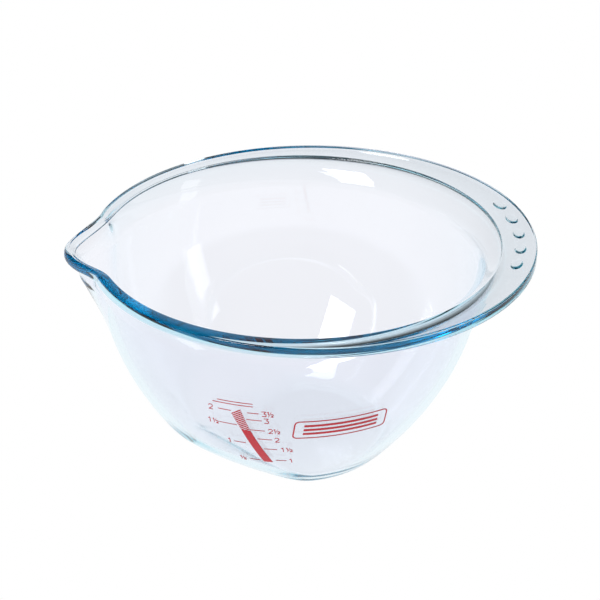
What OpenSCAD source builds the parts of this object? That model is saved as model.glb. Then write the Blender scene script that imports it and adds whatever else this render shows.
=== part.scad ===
// Glass mixing bowl with a pouring spout, a wide eccentric flange and a printed measuring scale.
// Origin: centre of the flat foot, on the table. +Z up, +X to the flange handle, -X to the spout.

/* [Body] */
// Height of the round wall, from the table to the underside of the rim
wall_top = 134; // [120:1:150]
// Outer radius of the wall just above the foot
foot_r = 61.3; // [55:0.1:66]
// Outer radius of the wall under the rim
top_r = 121; // [112:1:122]
// Thickness of the pressed glass
glass_t = 4.8; // [4:0.1:5.5]
// Thickness of the floor
floor_t = 5.5; // [4.5:0.5:7]

/* [Tilting flats] */
// Angle of each inclined flat to either side of the spout, degrees
flat_az = 46; // [42:1:55]
// Distance from the axis to the line where a flat meets the foot
flat_d = 40; // [38:0.5:46]
// Slope of each flat above the table, degrees
flat_slope = 30.5; // [26:0.5:38]

/* [Rim] */
// Height of the top of the flange at its outer edge
bowl_h = 142; // [130:1:160]
// Inner radius of the mouth
mouth_r = 125; // [120:1:128]
// Shift of the mouth's centre towards the handle
mouth_x = 6.2; // [3:0.1:8]
// How far the mouth's edge lies below the flange's outer edge
mouth_drop = 1.2; // [0.6:0.2:2]
// Outer radius of the flange
flange_r = 139.5; // [136:0.5:144]
// Shift of the flange's centre towards the handle
flange_x = 13.5; // [10:0.5:16]
// Thickness of the flange
flange_t = 6.8; // [5:0.2:7.5]

/* [Spout] */
// Distance from the axis to the tip of the spout
spout_reach = 141; // [134:1:148]
// Half width of the spout where it leaves the rim
spout_root_w = 43; // [38:1:46]
// Half width of the spout near its tip
spout_tip_w = 17; // [13:1:20]
// Height of the lip
lip_top = 138.5; // [134:0.5:141]
// Thickness of the glass at the lip
lip_t = 6; // [5:0.5:7]

/* [Thumb bumps] */
// Number of raised bumps on the flange
bump_count = 5; // [3:2:7]
// Angle between neighbouring bumps, degrees
bump_pitch = 9.3; // [7:0.1:10]
// Width of each oval bump, across the flange
bump_w = 7.4; // [6:0.2:9]
// Length of each oval bump, along the flange
bump_l = 13.6; // [8:0.2:16]
// Height of each bump above the flange
bump_h = 0.9; // [0.5:0.1:1.5]

/* [Printed scale] */
// Thickness of the enamel print
print_t = 0.25; // [0.2:0.05:0.4]
// Direction of the middle of the scale round the bowl, degrees
scale_az = -104.5; // [-120:0.5:-95]
// Height of the numerals
digit_h = 4; // [3:0.5:5]
// Width of the thin printed lines
line_w = 0.5; // [0.4:0.05:1]
// Width of the slanted bar's solid lower part
bar_w = 5.6; // [4:0.2:7]
// Width of the slanted bar's hatched top
bar_top_w = 7.4; // [6:0.2:9]
// Direction of the middle of the plain badge, degrees
badge_az = -76; // [-80:1:-60]
// Length of the plain badge
badge_l = 58; // [40:1:64]
// Height of the plain badge
badge_h = 16; // [12:1:20]

/* [Hidden] */
$fn = 96;

// Shape of the wall curve: radius against height, as a pair of powers.
curve_p = 2.11;
curve_q = 0.985;
wall_steps = 26;
flat_lean = 90 - flat_slope;
glass_color = [0.86, 0.92, 0.94, 0.45];
print_color = [0.80, 0.10, 0.16];

function wall_r(z) = foot_r + (top_r - foot_r) * pow(1 - pow(1 - z / wall_top, curve_p), curve_q);
function wall_z(i) = wall_top * pow(i / wall_steps, 1.4);
function wall_lean(z) = atan2(wall_r(min(z + 0.5, wall_top)) - wall_r(max(z - 0.5, 0)), 1);

// A point of the wall's outer curve, moved out along its normal by d.
function wall_point(z, d) = [wall_r(z) + d * cos(wall_lean(z)), z - d * sin(wall_lean(z))];
function wall_curve(d, z_min) = [for (i = [1:wall_steps])
    let (p = wall_point(wall_z(i), d)) if (p[1] > z_min) p];

// Solid of revolution inside the wall curve moved out by d, from height base_z to cap_z.
module wall_solid(d, base_z, cap_z) {
    curve = wall_curve(d, base_z + 1);
    first = curve[0];
    last = curve[len(curve) - 1];
    foot = [first[0] - 1.6 * (first[1] - base_z), base_z];
    rotate_extrude()
        polygon(concat([[0, base_z], foot], curve, [[last[0], cap_z], [0, cap_z]]));
}

// Everything below the two inclined flats, lowered by d along their normals.
module below_flats(d) {
    for (side = [-1, 1])
        rotate([0, 0, 180 + side * flat_az])
            translate([flat_d, 0, 0])
                rotate([0, flat_lean, 0])
                    translate([d, -120, -120])
                        cube([80, 240, 240]);
}

mouth_z = bowl_h - mouth_drop;
flange_low = bowl_h - flange_t;
edge_r = 1.3;
rim_slope = 0.658;

// Eccentric flange: an upright outer edge between two small rounded corners.
module flange() {
    corner = flange_r - edge_r;
    top_arc = [for (a = [0:15:90]) [corner + edge_r * cos(a), bowl_h - edge_r + edge_r * sin(a)]];
    low_arc = [for (a = [-90:15:0]) [corner + edge_r * cos(a), flange_low + edge_r + edge_r * sin(a)]];
    translate([flange_x, 0, 0])
        rotate_extrude($fn = 144)
            polygon(concat([[100, flange_low]], low_arc, top_arc, [[100, bowl_h]]));
}

// Sloping collar that carries the flange on the wall.
module collar() {
    low_z = 112;
    high_r = mouth_r + 2.2;
    translate([mouth_x, 0, low_z])
        cylinder(h = flange_low + 1 - low_z, r1 = high_r - rim_slope * (flange_low - low_z),
                 r2 = high_r + rim_slope, $fn = 144);
}

// Half width of the spout at a distance s (0 to 1) from its root to its round tip.
function spout_half(s) = spout_root_w + (spout_tip_w - spout_root_w) * (1 - cos(180 * s)) / 2;

// Plan of the spout: an S curve each side and a round tip, drawn in by the amount inset.
module spout_plan(inset) {
    root_x = -104;
    neck_x = 9 - spout_reach;
    cap = spout_reach + neck_x - inset;
    side = [for (i = [0:12]) [root_x + (neck_x - root_x) * i / 12, spout_half(i / 12) - inset]];
    tip = [for (a = [75:-15:-75]) [neck_x - cap * cos(a), (spout_tip_w - inset) * sin(a)]];
    back = [for (i = [12:-1:0]) [side[i][0], -side[i][1]]];
    polygon(concat([[-80, side[0][1]]], side, tip, back, [[-80, -side[0][1]]]));
}

// The spout's underside is part of an upright cone that opens upward.
module spout_solid(inset, top_z) {
    low_z = 78;
    flare = 0.49;
    axis_x = -98;
    tip_r = spout_reach + axis_x;
    r_top = tip_r + flare * (top_z - lip_top) - 1.13 * inset;
    r_low = r_top - flare * (top_z - low_z);
    intersection() {
        translate([0, 0, low_z])
            linear_extrude(top_z - low_z)
                spout_plan(inset);
        translate([axis_x, 0, low_z])
            cylinder(h = top_z - low_z, r1 = r_low, r2 = r_top, $fn = 144);
    }
}

module cavity() {
    difference() {
        wall_solid(-glass_t, floor_t, bowl_h + 5);
        below_flats(-glass_t);
    }
    // Sloping ledge up to the mouth's edge, then the shallow dish of the flange's top.
    translate([mouth_x, 0, 118])
        cylinder(h = mouth_z - 118, r1 = mouth_r - rim_slope * (mouth_z - 118), r2 = mouth_r, $fn = 144);
    translate([mouth_x, 0, mouth_z])
        cylinder(h = mouth_drop + 0.01, r1 = mouth_r, r2 = mouth_r + 13, $fn = 144);
    spout_solid(lip_t, bowl_h + 5);
}

// Raised oval bumps, flat on top, that stand a little above the flange.
module thumb_bumps() {
    sunk = 1;
    ring_r = flange_r - 10.5;
    outline = [for (a = [0:15:345]) [bump_w / 2 * cos(a), bump_l / 2 * sin(a)]];
    for (i = [0:bump_count - 1])
        translate([flange_x, 0, bowl_h - sunk])
            rotate([0, 0, (i - (bump_count - 1) / 2) * bump_pitch])
                translate([ring_r, 0, 0])
                    linear_extrude(bump_h + sunk)
                        polygon(outline);
}

module glass_bowl() {
    color(glass_color)
        union() {
            difference() {
                union() {
                    difference() {
                        wall_solid(0, 0, wall_top);
                        below_flats(0);
                    }
                    flange();
                    collar();
                    spout_solid(0, lip_top);
                }
                cavity();
            }
            thumb_bumps();
        }
}

// Thin layer of enamel on the outside of the wall, cut to the flat shape given as a child.
// The child is drawn with X round the bowl and Y as the height, facing direction az.
module enamel(az) {
    color(print_color)
        intersection() {
            difference() {
                wall_solid(print_t, 20, wall_top - 20);
                wall_solid(0, 10, wall_top);
            }
            rotate([0, 0, az + 90])
                rotate([90, 0, 0])
                    linear_extrude(150)
                        children();
        }
}

// Straight printed line from a to b.
module stroke(a, b, w) {
    d = b - a;
    translate(a)
        rotate(atan2(d[1], d[0]))
            translate([-w / 3, -w / 2])
                square([norm(d) + 2 * w / 3, w]);
}

// Numeral drawn in a box one unit high, as a chain of straight strokes.
DIGITS = [
    [],
    [[0.1, 0.8], [0.35, 1], [0.35, 0]],
    [[0, 0.8], [0.15, 1], [0.45, 1], [0.6, 0.8], [0.6, 0.6], [0, 0], [0.6, 0]],
    [[0, 1], [0.6, 1], [0.3, 0.6], [0.6, 0.42], [0.6, 0.15], [0.45, 0], [0, 0.05]]
];

module digit(n, h) {
    chain = DIGITS[n];
    for (i = [0:len(chain) - 2])
        stroke(chain[i] * h, chain[i + 1] * h, line_w);
}

// Half fraction: a small 1 over a small 2 with a slanted stroke.
module half_sign() {
    small = digit_h * 0.55;
    translate([-0.25, digit_h - small])
        digit(1, small);
    stroke([0.3, 0], [2.2, digit_h], line_w * 0.7);
    translate([1.9, 0])
        digit(2, small);
}

// Amount written as whole units and an optional half, its left end at the given place.
module amount(whole, has_half) {
    step = digit_h * 0.85;
    if (whole > 0)
        digit(whole, digit_h);
    if (has_half)
        translate([whole > 0 ? step : 0, 0])
            half_sign();
}

// Litre marks: height, left end and right end of the tick, then the numeral's place and value.
LITRES = [
    [82.2, -20, -12, -26, 2, false],
    [70, -20.5, -9.5, -28, 1, true],
    [53, -13.5, -6, -17.5, 1, false],
    [35, -6, 0.5, -12, 0, true]
];
// Pint marks, in the same order of values.
PINTS = [
    [82.2, -2, 5, 7, 3, true],
    [76.2, -3, 6.4, 8, 3, false],
    [67, -2, 7.3, 9.5, 2, true],
    [58.7, 2, 10.7, 12.5, 2, false],
    [48.6, 4.6, 12.6, 14.8, 1, true],
    [36, 10, 16.5, 18, 1, false]
];

bar_top = [-9.6, 84.2];
bar_split = [-4.3, 66];
bar_foot = [5.2, 33.5];

module scale_bar_solid() {
    enamel(scale_az)
        polygon([bar_split - [bar_w / 2, 0], bar_split + [bar_w / 2, 0],
                 bar_foot + [bar_w / 2, 0], bar_foot - [bar_w / 2, 0]]);
}

module scale_bar_hatched() {
    gap = 1.7;
    enamel(scale_az)
        intersection() {
            polygon([bar_top - [bar_top_w / 2, 0], bar_top + [bar_top_w / 2, 0],
                     bar_split + [bar_w / 2, -0.1], bar_split - [bar_w / 2, 0.1]]);
            for (z = [bar_split[1] - 2:gap:bar_top[1]])
                stroke([-16, z - 6], [4, z + 8], line_w * 1.6);
        }
}

module ticks(marks) {
    for (m = marks)
        translate([m[1], m[0] - line_w / 2])
            square([m[2] - m[1], line_w]);
}

module numerals(marks) {
    for (m = marks)
        translate([m[3], m[0] - digit_h / 2])
            amount(m[4], m[5]);
}

module litre_ticks() {
    enamel(scale_az)
        ticks(LITRES);
}

module litre_numerals() {
    enamel(scale_az)
        numerals(LITRES);
}

module pint_ticks() {
    enamel(scale_az)
        ticks(PINTS);
}

module pint_numerals() {
    enamel(scale_az)
        numerals(PINTS);
}

// Two plain rules over the scale, where a heading would be.
module heading_rules() {
    enamel(scale_az)
        for (i = [0, 1])
            translate([-23 + 3 * i, 87.4 + 2.2 * i])
                square([25 - 3 * i, line_w]);
}

module round_rect(l, h, r) {
    hull()
        for (x = [r - l / 2, l / 2 - r], y = [r - h / 2, h / 2 - r])
            translate([x, y])
                circle(r, $fn = 24);
}

badge_z = 68.5;

module badge_frame() {
    enamel(badge_az)
        translate([0, badge_z])
            difference() {
                round_rect(badge_l, badge_h, 3);
                round_rect(badge_l - 1.6, badge_h - 1.6, 2.3);
            }
}

// Three plain bars inside the frame.
module badge_bars() {
    enamel(badge_az)
        for (i = [-1:1])
            translate([-badge_l / 2 + 6, badge_z + 3.6 * i - 0.9])
                square([badge_l - 12, 1.8]);
}

glass_bowl();
scale_bar_solid();
scale_bar_hatched();
litre_ticks();
litre_numerals();
pint_ticks();
pint_numerals();
heading_rules();
badge_frame();
badge_bars();
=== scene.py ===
"""Clear glass mixing bowl with a spout, a flange handle and a red enamel scale.

The glass is one closed surface, worked out ring by ring: the floor, the inner wall, the rim and
the outer wall all follow formulas of the direction round the bowl. Lengths are in millimetres
until the mesh is made.
"""
import math

import bpy
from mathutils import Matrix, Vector


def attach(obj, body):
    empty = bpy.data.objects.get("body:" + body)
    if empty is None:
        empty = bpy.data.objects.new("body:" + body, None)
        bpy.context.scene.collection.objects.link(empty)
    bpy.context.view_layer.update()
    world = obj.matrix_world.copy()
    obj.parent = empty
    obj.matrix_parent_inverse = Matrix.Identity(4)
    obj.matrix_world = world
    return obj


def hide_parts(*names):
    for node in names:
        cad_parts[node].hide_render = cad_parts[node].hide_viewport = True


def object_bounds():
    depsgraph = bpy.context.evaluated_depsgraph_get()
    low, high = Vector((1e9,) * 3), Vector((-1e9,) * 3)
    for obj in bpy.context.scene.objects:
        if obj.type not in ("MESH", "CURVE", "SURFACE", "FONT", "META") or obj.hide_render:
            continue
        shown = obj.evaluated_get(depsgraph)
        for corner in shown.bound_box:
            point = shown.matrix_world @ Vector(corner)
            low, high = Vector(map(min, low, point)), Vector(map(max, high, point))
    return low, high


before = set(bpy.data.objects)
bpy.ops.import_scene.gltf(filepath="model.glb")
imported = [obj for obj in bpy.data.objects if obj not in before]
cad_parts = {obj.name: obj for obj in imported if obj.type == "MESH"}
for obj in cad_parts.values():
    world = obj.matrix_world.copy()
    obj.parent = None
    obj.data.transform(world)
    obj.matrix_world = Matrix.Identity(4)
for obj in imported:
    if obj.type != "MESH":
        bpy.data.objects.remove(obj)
CAD_LOW, CAD_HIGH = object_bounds()
MM = 0.001

# Sizes from the frame. The thumb bumps stand above the flange, so its top lies below the CAD's.
BUMP_H = 0.9
BOWL_H = CAD_HIGH.z / MM - BUMP_H
SPOUT_REACH = -CAD_LOW.x / MM
FLANGE_R = (CAD_HIGH.y - CAD_LOW.y) / 2 / MM
FLANGE_X = CAD_HIGH.x / MM - FLANGE_R

# Body: the wall is a curve from the foot to the rim, carried on below the foot at FOOT_SLOPE.
FOOT_R = 61.3
FOOT_SLOPE = 0.98
TOP_R = 121.0
WALL_TOP = 134.0
CURVE_P = 2.11
CURVE_Q = 0.985
GLASS_T = 4.8
FLOOR_T = 5.5
INNER_FILLET = 7.0
OUTER_FILLET = 5.0

# Tilting flats, either side of the spout.
FLAT_AZ = math.radians(46)
FLAT_D = 40.0
FLAT_SLOPE = math.radians(30.5)
FLAT_FILLET = 3.0

# Mouth and flange.
MOUTH_R = 125.0
MOUTH_X = 6.2
MOUTH_DROP = 1.2
MOUTH_CORNER = 0.8
DISH_W = 13.0
FLANGE_T = 6.8
EDGE_R = 1.3

# Heights where the rim takes over from the inner and the outer wall.
RIM_IN = WALL_TOP - 9.0
RIM_OUT = WALL_TOP - 13.0

# Spout and its lip.
LIP_TOP = 138.5
LIP_T = 7.0
LIP_DROP = 0.3
LIP_CORNER = 3.0
LIP_EDGE_R = 3.2
LIP_FOLLOW = 0.77
LIP_SPAN = math.radians(24)
SPOUT_START = 76.0
SPOUT_RISE = 14.0
SPOUT_LOW = 84.0
SPOUT_FLARE = 0.49
SPOUT_FILLET = 3.0
KEEL_INSET = 0.3
SPOUT_SPREAD_TOP = math.radians(22.6)
SPOUT_SPREAD_LOW = math.radians(15)

# Thumb bumps, ovals with their long way round the flange.
BUMPS = 5
BUMP_PITCH = math.radians(9.3)
BUMP_HALF_W = 3.7
BUMP_HALF_L = 6.8
BUMP_RING = FLANGE_R - 10.5

# Points along the section: the floor, the walls before and after they are spread evenly, the rim.
FLOOR_RINGS = 22
WALL_RINGS = 64
WALL_POINTS = 90
LEDGE_N = 16
CROWN_N = 7
SHELF_N = 72
CORNER_N = 8
SWEEP_N = 18


# ---------------------------------------------------------------- small maths

def mix(a, b, t):
    return a + (b - a) * t


def smooth(t):
    t = min(max(t, 0.0), 1.0)
    return t * t * (3 - 2 * t)


def soft_max(a, b, k):
    """The larger of a and b, with the corner rounded over about k."""
    h = min(max(0.5 + 0.5 * (a - b) / k, 0.0), 1.0)
    return mix(b, a, h) + k * h * (1 - h)


def soft_min(a, b, k):
    return -soft_max(-a, -b, k)


def circle_reach(cx, r, phi):
    """Distance from the axis to a circle of radius r centred at (cx, 0), in direction phi."""
    return cx * math.cos(phi) + math.sqrt(r * r - (cx * math.sin(phi)) ** 2)


# ---------------------------------------------------------------- wall and flats

def wall_r(z):
    """Outer radius of the round wall at height z, carried on in a straight line below the foot."""
    if z <= 0:
        return FOOT_R + FOOT_SLOPE * z
    share = max(1 - z / WALL_TOP, 0.0)
    return FOOT_R + (TOP_R - FOOT_R) * max(1 - share ** CURVE_P, 0.0) ** CURVE_Q


def wall_lean(z):
    """Angle of the wall outward from upright at height z."""
    return math.atan2(wall_r(z + 0.5) - wall_r(max(z - 0.5, 0.0)), 1.0 if z > 0.5 else 0.5 + z)


def flat_height(x, y, inward):
    """Height of the higher tilting flat over (x, y), moved into the bowl by inward."""
    lift = inward / math.cos(FLAT_SLOPE)
    best = -999.0
    for side in (-1, 1):
        a = math.pi + side * FLAT_AZ
        along = x * math.cos(a) + y * math.sin(a)
        best = soft_max(best, (along - FLAT_D) * math.tan(FLAT_SLOPE) + lift, FLAT_FILLET)
    return best


# ---------------------------------------------------------------- spout

def off_spout(phi):
    """Angle from the spout's middle."""
    return abs(phi % (2 * math.pi) - math.pi)


def bell(delta, spread):
    """1 at the middle, falling to 0 at spread in an S curve."""
    if delta >= spread:
        return 0.0
    return (0.5 + 0.5 * math.cos(math.pi * delta / spread)) ** 1.2


def spout_bulge(phi, z):
    """How far the wall is pulled out towards the lip at height z."""
    if z < SPOUT_START:
        return 0.0
    keel = SPOUT_REACH - KEEL_INSET - SPOUT_FLARE * (LIP_TOP - z)
    pull = soft_max(keel - wall_r(min(z, WALL_TOP)), 0.0, SPOUT_FILLET)
    spread = mix(SPOUT_SPREAD_LOW, SPOUT_SPREAD_TOP, smooth((z - SPOUT_LOW) / (BOWL_H - SPOUT_LOW)))
    return pull * bell(off_spout(phi), spread) * smooth((z - SPOUT_START) / SPOUT_RISE)


def spout_share(phi):
    """1 on the lip, 0 where the ordinary rim begins."""
    return smooth(1.25 * (1 - off_spout(phi) / LIP_SPAN))


# ---------------------------------------------------------------- the glass, ring by ring

def azimuths():
    """Directions round the bowl, closer together at the thumb bumps and at the spout."""
    spans = [(-22, 22, 0.16), (22, 152, 0.65), (152, 208, 0.35), (208, 338, 0.65)]  # degrees
    out = []
    for start, end, step in spans:
        n = round((end - start) / step)
        out += [math.radians(start + (end - start) * i / n) for i in range(n)]
    return out


def inner_point(rho_outer, z_wall, phi):
    """A point of the inside surface under the rim."""
    lean = wall_lean(z_wall)
    r = rho_outer - GLASS_T * math.cos(lean)
    z = z_wall + GLASS_T * math.sin(lean)
    r += spout_bulge(phi, z)
    return r, z


def bump_rise(x, y):
    """Height of the thumb bumps over (x, y), low flat-topped ovals set along the flange."""
    for i in range(BUMPS):
        a = (i - (BUMPS - 1) / 2) * BUMP_PITCH
        across = (x - FLANGE_X) * math.cos(a) + y * math.sin(a) - BUMP_RING
        along = y * math.cos(a) - (x - FLANGE_X) * math.sin(a)
        d = math.hypot(across / BUMP_HALF_W, along / BUMP_HALF_L)
        if d < 1.0:
            return BUMP_H * (1 - d ** 6)
    return 0.0


def arc(centre_r, centre_z, radius, start, end):
    """Points of an arc, as (radius, height), from start to end degrees."""
    pts = []
    for i in range(CORNER_N + 1):
        a = math.radians(mix(start, end, i / CORNER_N))
        pts.append((centre_r + radius * math.cos(a), centre_z + radius * math.sin(a)))
    return pts


def bezier(p0, p1, p2, p3, n):
    """n points of a cubic curve, leaving out its start."""
    pts = []
    for i in range(1, n + 1):
        t = i / n
        u = 1 - t
        w = (u ** 3, 3 * u * u * t, 3 * u * t * t, t ** 3)
        pts.append(tuple(sum(k * p[j] for k, p in zip(w, (p0, p1, p2, p3))) for j in (0, 1)))
    return pts


def rim_section(phi, last_in, first_out):
    """Section of the rim, from the inner wall's top to the outer wall's, as (radius, height)."""
    s = spout_share(phi)
    r_in, z_in = last_in
    r_out, z_out = first_out
    bulge = spout_bulge(phi, LIP_TOP)
    mouth = max(circle_reach(MOUTH_X, MOUTH_R, phi) + bulge * LIP_FOLLOW, r_in + 0.6)
    edge = circle_reach(FLANGE_X, FLANGE_R, phi)
    out = max(mix(edge, mouth + LIP_T, smooth(1.6 * s)), mouth + LIP_T)
    if s > 0 and out > SPOUT_REACH - 2:
        out = soft_min(out, SPOUT_REACH, 0.6)
    top = mix(BOWL_H, LIP_TOP, s)
    lip = top - mix(MOUTH_DROP, LIP_DROP, s)
    under = top - FLANGE_T
    edge_r = mix(EDGE_R, LIP_EDGE_R, s)
    edge_in = out - edge_r
    corner = mix(MOUTH_CORNER, LIP_CORNER, s)
    shelf_in, shelf_z = mouth + corner * 1.1, lip + 0.05
    dish = min(edge_in - shelf_in, DISH_W)
    ledge = mouth - r_in
    rise = lip - corner - z_in
    # Ledge, leaving the wall upright and climbing outward to the mouth's edge.
    pts = bezier((r_in, z_in), (r_in + ledge * 0.03, z_in + rise * 0.5),
                 (mouth - ledge * 0.5, lip - corner - rise * 0.3), (mouth, lip - corner), LEDGE_N)
    # The mouth's edge, a small rounded corner, and the flange's nearly level top.
    pts += bezier(pts[-1], (mouth, lip - corner * 0.3), (mouth + corner * 0.35, lip),
                  (shelf_in, shelf_z), CROWN_N)
    for i in range(1, SHELF_N + 1):
        r = mix(shelf_in, edge_in, i / SHELF_N)
        climb = 1 - max(1 - (r - shelf_in) / dish, 0.0) ** 1.5
        pts.append((r, mix(shelf_z, top, climb)))
    # Upright outer edge between rounded corners.
    pts += arc(edge_in, top - edge_r, edge_r, 82, 0)
    pts += arc(edge_in, under + edge_r, edge_r, 0, -90)
    # Underside, sweeping down into the outer wall.
    sweep = max(edge_in - r_out, 2.0)
    pts += bezier(pts[-1], (r_out + min(6.0, sweep * 0.6), under - 0.2),
                  (r_out + 1.6, z_out + 8.0), (r_out + 0.02, z_out + 0.2), SWEEP_N)
    return pts


def section(phi):
    """The inner wall from the floor's middle up, and the outer wall down to the foot's middle."""
    c, s = math.cos(phi), math.sin(phi)
    heights = [WALL_TOP * (i / WALL_RINGS) ** 1.3 for i in range(WALL_RINGS)]
    r_first = inner_point(wall_r(0), 0.0, phi)[0]
    z_first = GLASS_T * math.sin(wall_lean(0))
    inner = []
    for i in range(1, FLOOR_RINGS):
        r = r_first * i / FLOOR_RINGS
        inner.append((r, (r - r_first) / FOOT_SLOPE + z_first))
    for h in heights:
        inner.append(inner_point(wall_r(h), h, phi))
    outer = [(wall_r(h) + spout_bulge(phi, h), h) for h in reversed(heights)]
    for i in range(FLOOR_RINGS - 1, 0, -1):
        r = FOOT_R * i / FLOOR_RINGS
        outer.append((r, (r - FOOT_R) / FOOT_SLOPE))
    inside = []
    for r, z in inner:
        z = soft_max(z, flat_height(r * c, r * s, GLASS_T), INNER_FILLET)
        inside.append((r, soft_max(z, FLOOR_T, INNER_FILLET)))
    outside = []
    for r, z in outer:
        z = soft_max(z, flat_height(r * c, r * s, 0.0), OUTER_FILLET)
        outside.append((r, soft_max(z, 0.0, OUTER_FILLET)))
    return [p for p in inside if p[1] < RIM_IN], [p for p in outside if p[1] < RIM_OUT]


def resample(pts, n):
    """n points spread evenly along a chain."""
    lengths = [0.0]
    for a, b in zip(pts, pts[1:]):
        lengths.append(lengths[-1] + math.hypot(b[0] - a[0], b[1] - a[1]))
    out = []
    j = 0
    for i in range(n):
        want = lengths[-1] * i / (n - 1)
        while j < len(pts) - 2 and lengths[j + 1] < want:
            j += 1
        span = lengths[j + 1] - lengths[j]
        t = (want - lengths[j]) / span if span > 0 else 0.0
        out.append((mix(pts[j][0], pts[j + 1][0], t), mix(pts[j][1], pts[j + 1][1], t)))
    return out


def glass_column(phi):
    """The section in direction phi as points in space, from the floor's middle out and back."""
    inner, outer = section(phi)
    inner = resample(inner, WALL_POINTS)
    outer = resample(outer, WALL_POINTS)
    chain = inner + rim_section(phi, inner[-1], outer[0]) + outer
    column = [(r * math.cos(phi), r * math.sin(phi), z) for r, z in chain]
    shelf = len(inner) + LEDGE_N + CROWN_N
    for k in range(shelf, shelf + SHELF_N):
        x, y, z = column[k]
        column[k] = (x, y, z + bump_rise(x, y))
    return column


def glass_mesh():
    """The closed glass surface."""
    columns = [glass_column(phi) for phi in azimuths()]
    n = len(columns)
    rings = list(zip(*columns))
    verts = [(0.0, 0.0, sum(p[2] for p in rings[0]) / n)]
    for ring in rings:
        verts += ring
    verts.append((0.0, 0.0, 0.0))
    verts = [(x * MM, y * MM, z * MM) for x, y, z in verts]
    faces = [(0, 1 + j, 1 + (j + 1) % n) for j in range(n)]
    for i in range(len(rings) - 1):
        a = 1 + i * n
        b = a + n
        for j in range(n):
            k = (j + 1) % n
            faces.append((a + j, b + j, b + k, a + k))
    last = 1 + (len(rings) - 1) * n
    end = len(verts) - 1
    faces += [(end, last + (j + 1) % n, last + j) for j in range(n)]
    mesh = bpy.data.meshes.new("glass_bowl_body")
    mesh.from_pydata(verts, [], faces)
    mesh.validate()
    mesh.shade_smooth()
    mesh.update()
    return mesh


# ---------------------------------------------------------------- materials

def uneven_material(name, scale, detail, colours, bump, bump_depth):
    """A material with one soft noise in its colour and surface; also its shader and the noise."""
    mat = bpy.data.materials.new(name)
    mat.use_nodes = True
    nodes = mat.node_tree.nodes
    links = mat.node_tree.links
    shader = nodes["Principled BSDF"]
    coords = nodes.new("ShaderNodeTexCoord")
    noise = nodes.new("ShaderNodeTexNoise")
    noise.inputs["Scale"].default_value = scale
    noise.inputs["Detail"].default_value = detail
    links.new(coords.outputs["Object"], noise.inputs["Vector"])
    spread = nodes.new("ShaderNodeMapRange")
    spread.interpolation_type = "SMOOTHSTEP"
    links.new(noise.outputs["Fac"], spread.inputs["Value"])
    spread.inputs["From Min"].default_value = 0.3
    spread.inputs["From Max"].default_value = 0.7
    colour = nodes.new("ShaderNodeMix")
    colour.data_type = "RGBA"
    links.new(spread.outputs["Result"], colour.inputs["Factor"])
    colour.inputs["A"].default_value = (*colours[0], 1)
    colour.inputs["B"].default_value = (*colours[1], 1)
    links.new(colour.outputs["Result"], shader.inputs["Base Color"])
    relief = nodes.new("ShaderNodeBump")
    relief.inputs["Strength"].default_value = bump
    relief.inputs["Distance"].default_value = bump_depth
    links.new(noise.outputs["Fac"], relief.inputs["Height"])
    links.new(relief.outputs["Normal"], shader.inputs["Normal"])
    return mat, shader, spread.outputs["Result"]


def glass_material():
    """Clear pressed glass, never quite even, and faintly blue where light runs far inside it."""
    mat, shader, _ = uneven_material(
        "clear_glass", scale=14.0, detail=1.0,
        colours=((0.977, 0.937, 0.983), (0.992, 0.952, 0.998)), bump=0.2, bump_depth=0.0002)
    shader.inputs["IOR"].default_value = 1.474
    shader.inputs["Roughness"].default_value = 0.0
    shader.inputs["Transmission Weight"].default_value = 1.0
    nodes = mat.node_tree.nodes
    volume = nodes.new("ShaderNodeVolumeAbsorption")
    volume.inputs["Color"].default_value = (0.0, 0.80, 0.905, 1)
    volume.inputs["Density"].default_value = 14.0
    mat.node_tree.links.new(volume.outputs["Volume"], nodes["Material Output"].inputs["Volume"])
    return mat


def enamel_material():
    """Fired red enamel, a little uneven in colour, gloss and thickness."""
    mat, shader, patch = uneven_material(
        "red_enamel", scale=900.0, detail=3.0,
        colours=((0.52, 0.005, 0.018), (0.63, 0.014, 0.034)), bump=0.3, bump_depth=0.00005)
    shader.inputs["Specular IOR Level"].default_value = 0.3
    gloss = mat.node_tree.nodes.new("ShaderNodeMath")
    gloss.operation = "MULTIPLY_ADD"
    mat.node_tree.links.new(patch, gloss.inputs[0])
    gloss.inputs[1].default_value = 0.18
    gloss.inputs[2].default_value = 0.28
    mat.node_tree.links.new(gloss.outputs["Value"], shader.inputs["Roughness"])
    return mat


glass = bpy.data.objects.new("glass_body", glass_mesh())
bpy.context.collection.objects.link(glass)
glass.data.materials.append(glass_material())
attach(glass, "root")
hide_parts("glass_bowl")

# Every CAD node but the bowl is print, and keeps its own shape.
enamel = enamel_material()
for name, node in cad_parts.items():
    if name != "glass_bowl":
        node.data.materials.clear()
        node.data.materials.append(enamel)


# ---------------------------------------------------------------- stage, light, camera

def emission(name, colour, strength):
    """A material that only glows."""
    mat = bpy.data.materials.new(name)
    mat.use_nodes = True
    nodes = mat.node_tree.nodes
    nodes.clear()
    glow = nodes.new("ShaderNodeEmission")
    glow.inputs["Color"].default_value = (*colour, 1)
    glow.inputs["Strength"].default_value = strength
    out = nodes.new("ShaderNodeOutputMaterial")
    mat.node_tree.links.new(glow.outputs["Emission"], out.inputs["Surface"])
    return mat


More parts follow.
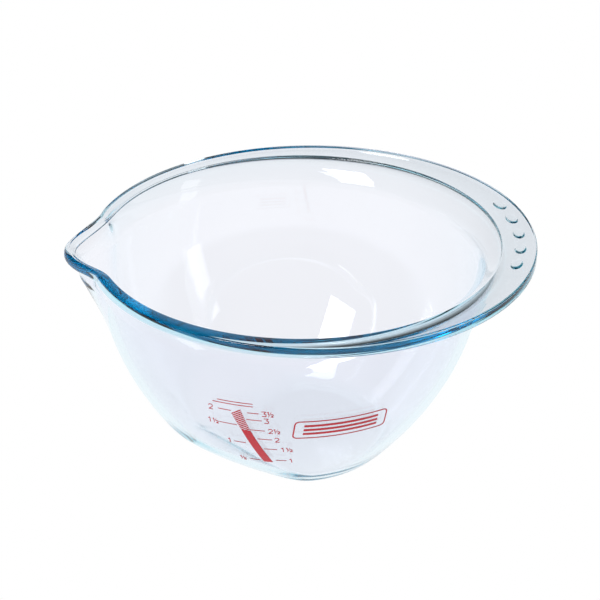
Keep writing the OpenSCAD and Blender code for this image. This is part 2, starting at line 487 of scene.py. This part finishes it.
def studio_world():
    """White below the horizon and a dim room above it, a little less dim behind the bowl."""
    world = bpy.data.worlds.new("studio")
    bpy.context.scene.world = world
    world.use_nodes = True
    nodes = world.node_tree.nodes
    links = world.node_tree.links
    coords = nodes.new("ShaderNodeTexCoord")
    split = nodes.new("ShaderNodeSeparateXYZ")
    links.new(coords.outputs["Generated"], split.inputs["Vector"])
    front = ((0.0, 1.0), (0.06, 0.30), (0.5, 0.05))
    back = ((0.0, 1.0), (0.16, 0.45), (0.42, 0.06))
    ramps = []
    for stops in (front, back):
        ramp = nodes.new("ShaderNodeValToRGB")
        made = ramp.color_ramp.elements
        made.new(stops[1][0])
        for stop, (place, value) in zip(made, stops):
            stop.position = place
            stop.color = (value * 0.94, value * 0.96, value, 1)
        links.new(split.outputs["Z"], ramp.inputs["Fac"])
        ramps.append(ramp)
    side = nodes.new("ShaderNodeMapRange")
    side.inputs["From Min"].default_value = -0.15
    side.inputs["From Max"].default_value = 0.15
    links.new(split.outputs["Y"], side.inputs["Value"])
    blend = nodes.new("ShaderNodeMix")
    blend.data_type = "RGBA"
    links.new(side.outputs["Result"], blend.inputs["Factor"])
    links.new(ramps[0].outputs["Color"], blend.inputs["A"])
    links.new(ramps[1].outputs["Color"], blend.inputs["B"])
    links.new(blend.outputs["Result"], nodes["Background"].inputs["Color"])
    nodes["Background"].inputs["Strength"].default_value = 1.0


def stage_card(name, corners, mat):
    """A flat card with four corners, part of the stage and not of the object."""
    mesh = bpy.data.meshes.new(name)
    mesh.from_pydata(corners, [], [(0, 1, 2, 3)])
    card = bpy.data.objects.new(name, mesh)
    bpy.context.collection.objects.link(card)
    card.data.materials.append(mat)


def soft_box(name, place, size, watts):
    """A rectangular lamp aimed at the bowl's middle."""
    data = bpy.data.lights.new(name, "AREA")
    data.shape = "RECTANGLE"
    data.size, data.size_y = size
    data.energy = watts
    lamp = bpy.data.objects.new(name, data)
    bpy.context.collection.objects.link(lamp)
    lamp.location = place
    aim = Vector((0, 0, 0.05)) - Vector(place)
    lamp.rotation_euler = aim.to_track_quat("-Z", "Y").to_euler()


# The floor, in metres, just under the foot so that the two don't share a surface.
FLOOR_HALF = 6
FLOOR_Z = -0.0003
floor_corners = [(x * FLOOR_HALF, y * FLOOR_HALF, FLOOR_Z)
                 for x, y in ((-1, -1), (1, -1), (1, 1), (-1, 1))]

studio_world()
stage_card("floor", floor_corners, emission("white_floor", (1.0, 1.0, 1.0), 1.0))
soft_box("key_box", (-0.68, -0.64, 1.06), (0.5, 0.85), 9.0)
soft_box("side_strip", (1.31, -0.61, 0.42), (0.3, 0.7), 1.3)

# The camera stands off the object's origin, in metres, and the whole view is turned by YAW.
YAW = math.radians(2.5)
CAM_BACK = 1.1958
CAM_UP = 0.7473
CAM_SIDE = 0.0058
CAM_PITCH = math.radians(28.5)
CAM_LENS_MM = 129.28
SENSOR_MM = 36.0


def turned(v):
    """A vector of the view's frame, turned into the object's."""
    c, s = math.cos(-YAW), math.sin(-YAW)
    return Vector((v[0] * c - v[1] * s, v[0] * s + v[1] * c, v[2]))


cam_data = bpy.data.cameras.new("camera")
cam = bpy.data.objects.new("camera", cam_data)
bpy.context.collection.objects.link(cam)
cam.location = turned((CAM_SIDE, -CAM_BACK, CAM_UP))
cam.rotation_euler = (math.pi / 2 - CAM_PITCH, 0, -YAW)
cam_data.sensor_width = SENSOR_MM
cam_data.lens = CAM_LENS_MM
bpy.context.scene.camera = cam

# The plain transform keeps the white floor white.
bpy.context.scene.view_settings.view_transform = "Standard"
# Light runs round inside the glass many times before it leaves the rim.
BOUNCES = 64
bpy.context.scene.cycles.max_bounces = BOUNCES
bpy.context.scene.cycles.transmission_bounces = BOUNCES
bpy.context.scene.cycles.glossy_bounces = BOUNCES
